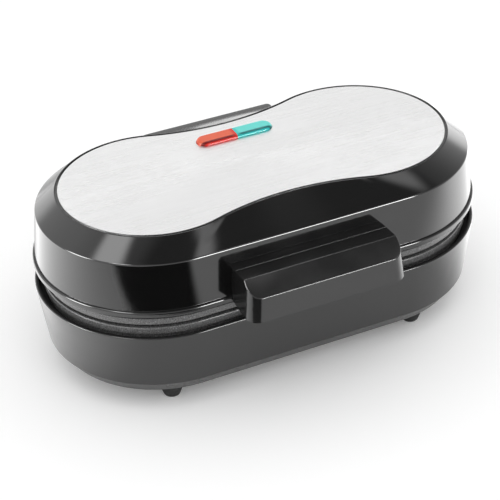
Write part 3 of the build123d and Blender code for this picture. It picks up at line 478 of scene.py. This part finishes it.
def make_floor():
    """A round white floor that fades into the white behind it."""
    bpy.ops.mesh.primitive_circle_add(vertices=floor_sides, radius=floor_radius, fill_type="NGON")
    floor = bpy.context.object
    floor.name = "floor"
    material, tree = new_material("floor")
    away = tree.vector_math("LENGTH", tree.place())
    fade = tree.spread(away, 0.0, 1.0, floor_fade, floor_radius)
    paint = tree.add("ShaderNodeBsdfDiffuse", color=(floor_shade, floor_shade, floor_shade, 1))
    seen = tree.add("ShaderNodeLightPath").outputs["Is Camera Ray"]
    glow = tree.add("ShaderNodeEmission", strength=tree.math("MULTIPLY", seen, floor_lift))
    both = tree.add("ShaderNodeAddShader", paint.outputs["BSDF"], glow.outputs["Emission"])
    clear = tree.add("ShaderNodeBsdfTransparent")
    tree.surface(tree.mix_shaders(fade, both.outputs["Shader"], clear.outputs["BSDF"]))
    coat(floor, material)


def soft_panel(name, place, facing, size, soft, strength):
    """A panel that only gloss shows, with soft edges: a softbox, or a black card at strength 0."""
    halves = (size[0] / 2, size[1] / 2)
    corners = ((-1, -1), (1, -1), (1, 1), (-1, 1))
    points = [(x * halves[0], y * halves[1], 0) for x, y in corners]
    panel = add_mesh(name, points, [(0, 1, 2, 3)])
    turn = facing.to_track_quat("Z", "Y").to_matrix().to_4x4()
    panel.matrix_world = Matrix.Translation(place) @ turn
    panel.visible_camera = False
    panel.visible_diffuse = False
    panel.visible_transmission = False
    panel.visible_shadow = False
    material, tree = new_material(name)
    spot = tree.axes(tree.place())
    fades = []
    for axis, half, edge in zip("XY", halves, soft):
        away = tree.math("ABSOLUTE", spot[axis])
        fades.append(tree.spread(away, 0.0, 1.0, half, half - edge, "SMOOTHERSTEP"))
    clear = tree.add("ShaderNodeBsdfTransparent")
    glow = tree.add("ShaderNodeEmission", strength=strength)
    cover = tree.math("MULTIPLY", *fades)
    tree.surface(tree.mix_shaders(cover, clear.outputs["BSDF"], glow.outputs["Emission"]))
    coat(panel, material)


def make_panels():
    """All the studio's softboxes and the panels over the floor."""
    for name, (azimuth, elevation), span, soft, strength in softboxes:
        way = direction(radians(azimuth), radians(elevation))
        size = [2 * softbox_distance * tan(radians(angle) / 2) for angle in span]
        edges = [softbox_distance * radians(angle) for angle in soft]
        soft_panel(name, way * softbox_distance, way, size, edges, strength)
    near_facing = near_place - near_target
    soft_panel("near_softbox", near_place, near_facing, near_size, near_soft, near_strength)
    for name, low, high, height, soft, strength in floor_panels:
        place = Vector(((low[0] + high[0]) / 2, (low[1] + high[1]) / 2 + shell_centre_y, height))
        size = (high[0] - low[0], high[1] - low[1])
        soft_panel(name, place, Vector((0, 0, 1)), size, soft, strength)


def make_lamp():
    """The lamp, which faces the object and leaves no reflection."""
    data = bpy.data.lights.new("front_lamp", "AREA")
    data.shape = "RECTANGLE"
    data.size = lamp_size
    data.size_y = lamp_size
    data.energy = lamp_power
    lamp = add_object("front_lamp", data)
    way = direction(lamp_azimuth, lamp_elevation)
    lamp.location = way * lamp_distance
    lamp.rotation_mode = "QUATERNION"
    lamp.rotation_quaternion = way.to_track_quat("Z", "Y")
    lamp.visible_glossy = False


def smooth_node(node):
    """Smooth shading on a CAD node, with its real edges kept crisp."""
    weld = node.modifiers.new("weld", "WELD")
    weld.merge_threshold = weld_distance
    node.data.shade_smooth()
    split = node.modifiers.new("edges", "EDGE_SPLIT")
    split.split_angle = smooth_angle
    split.use_edge_sharp = False
    weigh = node.modifiers.new("normals", "WEIGHTED_NORMAL")
    weigh.keep_sharp = True


def arc(centre, radius, start, finish, steps):
    """Points along an arc from one angle to another, both ends among them."""
    turns = [start + (finish - start) * step / steps for step in range(steps + 1)]
    return [(centre[0] + radius * cos(turn), centre[1] + radius * sin(turn)) for turn in turns]


def slot_outline(radius):
    """A quarter of the shell's outline: round the lobe's end, then along the straight."""
    lobe = arc((lobe_centre, 0), radius, 0, pi / 2, lobe_steps)
    straight = [(lobe_centre * (1 - i / waist_steps), radius) for i in range(waist_steps + 1)]
    return lobe[:-1] + straight


def waisted_outline(margin):
    """A quarter of the inlay's outline, let out by a margin: round the lobe, then along the waist."""
    bulge = inlay_lobe - inlay_waist
    waist_y = (inlay_centre**2 - bulge**2) / (2 * bulge)
    lean = atan2(waist_y, inlay_centre)
    lobe = arc((inlay_centre, 0), inlay_lobe + margin, 0, pi - lean, lobe_steps)
    waist = arc((0, waist_y), waist_y - inlay_waist - margin, -lean, -pi / 2, waist_steps)
    return lobe[:-1] + waist


def full_ring(quarter, z):
    """The whole outline at height z from its quarter, counter-clockwise."""
    right_rear = list(quarter)
    left_rear = [(-x, y) for x, y in reversed(quarter[:-1])]
    left_front = [(-x, -y) for x, y in quarter[1:]]
    right_front = [(x, -y) for x, y in reversed(quarter[1:-1])]
    ring = right_rear + left_rear + left_front + right_front
    return [Vector((x, y + shell_centre_y, z)) for x, y in ring]


def rounded(corners, radii):
    """A closed profile with its corners rounded, and a supporting point beside each one."""
    points = []
    count = len(corners)
    for i, (corner, radius) in enumerate(zip(corners, radii)):
        before = (corners[i - 1] - corner).normalized()
        after = (corners[(i + 1) % count] - corner).normalized()
        half = acos(max(-1.0, min(1.0, before.dot(after)))) / 2
        reach = radius / tan(half)
        centre = corner + (before + after).normalized() * radius / sin(half)
        start = corner + before * reach - centre
        finish = corner + after * reach - centre
        points.append(corner + before * (reach + support))
        for step in range(corner_steps + 1):
            points.append(centre + start.slerp(finish, step / corner_steps).normalized() * radius)
        points.append(corner + after * (reach + support))
    return points


def ring_mesh(name, rings):
    """A closed tube of smooth faces through rings of points."""
    count = len(rings)
    width = len(rings[0])
    points = [point for ring in rings for point in ring]
    faces = []
    for i in range(count):
        for j in range(width):
            ahead = (i + 1) % count
            beside = (j + 1) % width
            faces.append((i * width + j, ahead * width + j, ahead * width + beside, i * width + beside))
    piece = add_mesh(name, points, faces)
    piece.data.shade_smooth()
    return piece


def wall_radius(z):
    """The lid's outer radius at height z, below its crease."""
    return crease_radius + (crease_z - z) * wall_slope


def make_lid_shell():
    """The moulded lid: bead, drafted wall, bevel up to the waisted outline, and the inlay's lip."""
    # The inner shoulder lies lower than the crease, so that the wall keeps its thickness there
    shoulder_z = crease_z - tan(pi / 8) * lid_wall
    ledge_top_z = lid_ledge_z + ledge_height
    lip = inlay_gap + lip_width
    inner_wall = wall_radius(lid_ledge_z) - lid_wall
    # Each corner of the profile: its outline, its height and its rounding in millimetres
    steps = [
        (slot_outline(wall_radius(mouth_z) - lid_wall), mouth_z, 0.3),
        (slot_outline(bead_radius), mouth_z, 1.5),
        (slot_outline(bead_radius), bead_top_z, 1.5),
        (slot_outline(wall_radius(bead_top_z)), bead_top_z, 0.25),
        (slot_outline(crease_radius), crease_z, 1.5),
        (waisted_outline(lip), top_z, 0.6),
        (waisted_outline(inlay_gap), top_z, 0.2),
        (waisted_outline(inlay_gap), pocket_z, 0.1),
        (waisted_outline(-seat_width), pocket_z, 0.3),
        (waisted_outline(-seat_width), deck_z, 0.3),
        (waisted_outline(lip - lid_wall), deck_z, 0.3),
        (slot_outline(crease_radius - lid_wall), shoulder_z, 0.5),
        (slot_outline(inner_wall), ledge_top_z, 0.3),
        (slot_outline(ledge_radius), ledge_top_z, 0.3),
        (slot_outline(ledge_radius), lid_ledge_z, 0.3),
        (slot_outline(inner_wall), lid_ledge_z, 0.3),
    ]
    outlines = [full_ring(quarter, z) for quarter, z, radius in steps]
    radii = [radius * mm for quarter, z, radius in steps]
    shell = ring_mesh("lid_shell", [rounded(corners, radii) for corners in zip(*outlines)])
    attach(shell, "lid")
    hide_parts("lid_housing")
    return shell


def make_hinge_block():
    """The block on the lid's rear that ends in the hinge's barrel."""
    low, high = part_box("hinge_pin_left")
    axis = ((low.y + high.y) / 2, (low.z + high.z) / 2)
    wall = (shell_centre_y + crease_radius - lid_wall / 2, crease_z)
    shelf_y = shell_centre_y + crease_radius + shelf_reach
    shelf_centre = (shelf_y - shelf_rounding, crease_z - shelf_rounding)
    shelf = arc(shelf_centre, shelf_rounding, pi / 2, 0, corner_steps)
    barrel = arc(axis, barrel_radius, barrel_start, barrel_finish, barrel_steps)
    foot = (shell_centre_y + block_foot_reach, mouth_z + block_foot_rise)
    corner_centre = (block_half - block_corner, -block_corner)
    right_end = arc(corner_centre, block_corner, pi / 2, 0, corner_steps)
    stations = [(-x, shift) for x, shift in reversed(right_end)] + right_end
    points = []
    for x, shift in stations:
        moved = [(y + shift, z) for y, z in shelf]
        points += [(x, y, z) for y, z in [wall] + moved + barrel + [foot]]
    count = len(points) // len(stations)
    last = len(points) - count
    faces = [tuple(range(count)), tuple(reversed(range(last, last + count)))]
    for start in range(0, last, count):
        for i in range(count):
            ahead = (i + 1) % count
            faces.append(tuple(start + k for k in (i, i + count, ahead + count, ahead)))
    block = add_mesh("hinge_block", points, faces)
    block.data.shade_smooth()
    bevel = block.modifiers.new("edges", "BEVEL")
    bevel.width = block_bevel
    bevel.segments = bevel_steps
    bevel.limit_method = "ANGLE"
    bevel.angle_limit = block_bevel_angle
    bevel.harden_normals = True
    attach(block, "lid")
    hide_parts("lid_housing")
    return block


def make_handle_seam():
    """The fine seam round the handle, between its root and its cap."""
    low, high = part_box("handle")
    seam_y = shell_centre_y - seam_reach
    top = high.z - seam_drop
    lean = tan(handle_draft)
    half_top = high.x - (high.z - low.z) * lean
    half_foot = high.x - seam_foot * lean
    corner = arc((half_top - seam_corner, top - seam_corner), seam_corner, 0, pi / 2, corner_steps)
    right_side = [(half_foot, low.z + seam_foot)] + corner
    arch = right_side + [(-x, z) for x, z in reversed(right_side)]
    line = bpy.data.curves.new("handle_seam", "CURVE")
    line.dimensions = "3D"
    line.bevel_depth = seam_radius
    line.bevel_resolution = seam_steps
    spline = line.splines.new("POLY")
    spline.points.add(len(arch) - 1)
    for point, (x, z) in zip(spline.points, arch):
        point.co = (x, seam_y, z, 1)
    mesh = bpy.data.meshes.new_from_object(bpy.data.objects.new("seam_line", line))
    mesh.shade_smooth()
    seam = add_object("handle_seam", mesh)
    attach(seam, "lid")
    return seam


make_camera()
make_world()
make_floor()
make_panels()
make_lamp()

# Black mouldings: name, shade, roughness, haze, orange peel, index
gloss_black = moulded_plastic("gloss_black", 0.005, 0.08, 0.03, 0.000002, 1.8)
satin_black = moulded_plastic("satin_black", 0.012, 0.12, 0.08, 0.000004, 1.72)
base_black = moulded_plastic("base_black", 0.012, 0.12, 0.08, 0.000004, 1.72, matt_inside=True)
cover_black = moulded_plastic("cover_black", 0.03, 0.25, 0.08, 0.000004, 1.8)
# The seam's mid grey is a painted highlight: it stands in for the thin light line that the seam's edge
# catches
seam_grey = moulded_plastic("seam_grey", 0.07, 0.3, 0.05, 0.000003, 1.5)
finishes = {
    "gloss_black": gloss_black,
    "steel_inlay": brushed_steel("steel_inlay", (0.86, 0.86, 0.86), roughness=0.22, along=0),
    "coated_plate": coated_metal("coated_plate"),
    "element_sheath": plain_metal("element_sheath", (0.2, 0.19, 0.18), roughness=0.45),
    "sheet_steel": plain_metal("sheet_steel", (0.7, 0.7, 0.71), roughness=0.3),
    "zinc_steel": plain_metal("zinc_steel", (0.62, 0.62, 0.63), roughness=0.3),
    "pin_steel": plain_metal("pin_steel", (0.55, 0.55, 0.56), roughness=0.25),
    "black_rubber": soft_rubber("black_rubber"),
    "red_lens": lens_plastic("red_lens", *red_body_and_painted_shades),
    "teal_lens": lens_plastic("teal_lens", *teal_body_and_painted_shades),
    "lamp_glass": clear_plastic("lamp_glass", (0.95, 0.85, 0.75)),
    "holder_white": matt_plastic("holder_white", (0.8, 0.79, 0.75)),
    "brass": plain_metal("brass", (0.72, 0.55, 0.25), roughness=0.25),
    "thermostat_black": matt_plastic("thermostat_black", (0.04, 0.035, 0.03)),
    "fuse_metal": plain_metal("fuse_metal", (0.7, 0.7, 0.7), roughness=0.3),
}
for part in frame["record"]["subparts"]:
    node = nodes[part["node"]]
    coat(node, finishes[part["material_slot"]])
    smooth_node(node)
coat(nodes["handle"], satin_black)
coat(nodes["base_housing"], base_black)
coat(nodes["base_bottom_cover"], cover_black)

shell = make_lid_shell()
block = make_hinge_block()
seam = make_handle_seam()
for piece, finish in ((shell, gloss_black), (block, gloss_black), (seam, seam_grey)):
    coat(piece, finish)

scene.view_settings.view_transform = "Standard"
